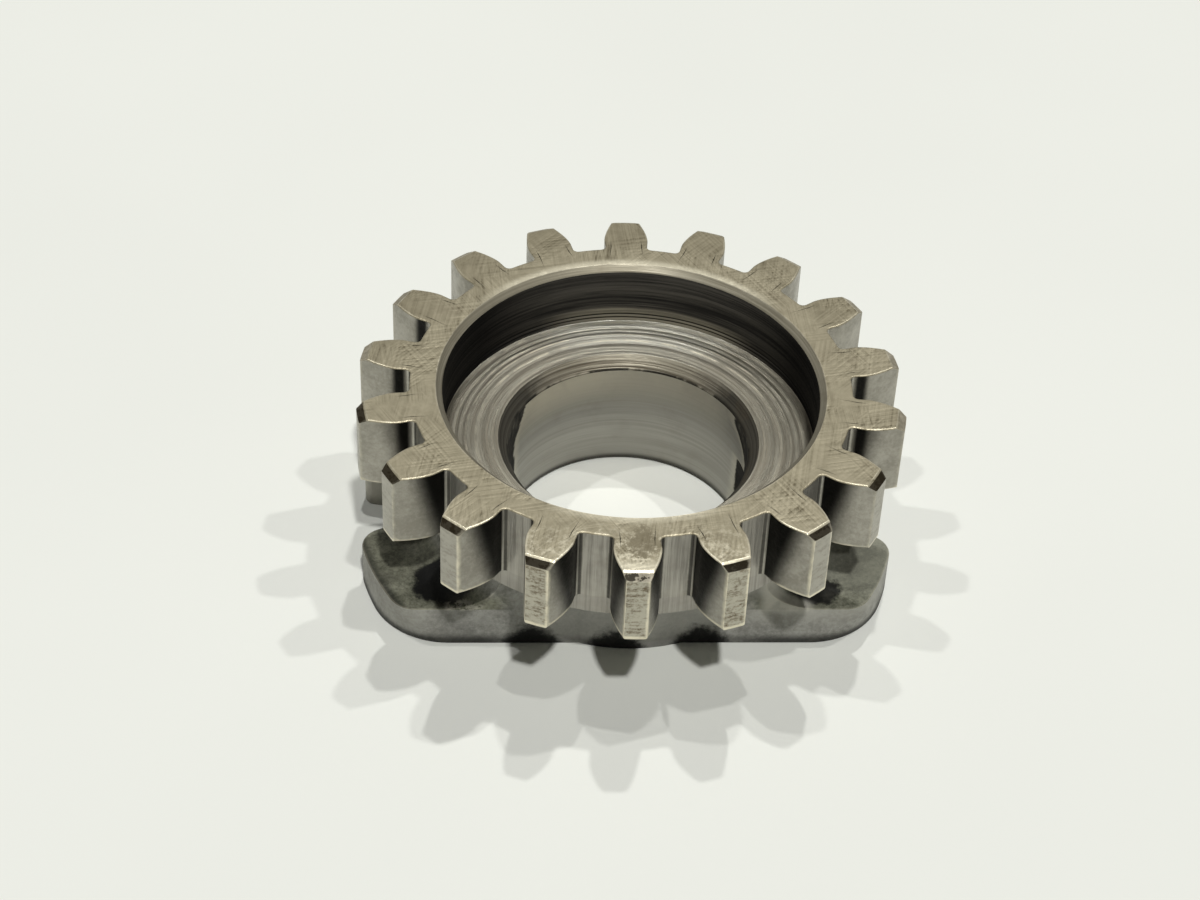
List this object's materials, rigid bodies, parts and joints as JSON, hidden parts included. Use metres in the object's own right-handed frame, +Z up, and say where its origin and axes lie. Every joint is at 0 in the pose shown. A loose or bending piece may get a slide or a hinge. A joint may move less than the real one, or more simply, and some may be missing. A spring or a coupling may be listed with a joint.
{
  "type": "magneto drive gear",
  "caption": "Steel stub-tooth spur gear on a short neck above a flatted, slotted drive flange, with a counterbored through bore.",
  "frame": {"origin": "centre of the drive flange's flat underside, on the bore's axis", "axes": "+Z up the bore's axis towards the toothed end, -Y through the middle of one tooth and nearly square to a flat, X through the two drive slots"},
  "size_m": [0.0494, 0.05, 0.0191],
  "materials": {
    "gear_steel": "machined and ground gear steel, worn and lightly oiled, darker in the recesses"
  },
  "bodies": {
    "root": {"magneto_drive_gear": "gear_steel"}
  },
  "joints": []
}
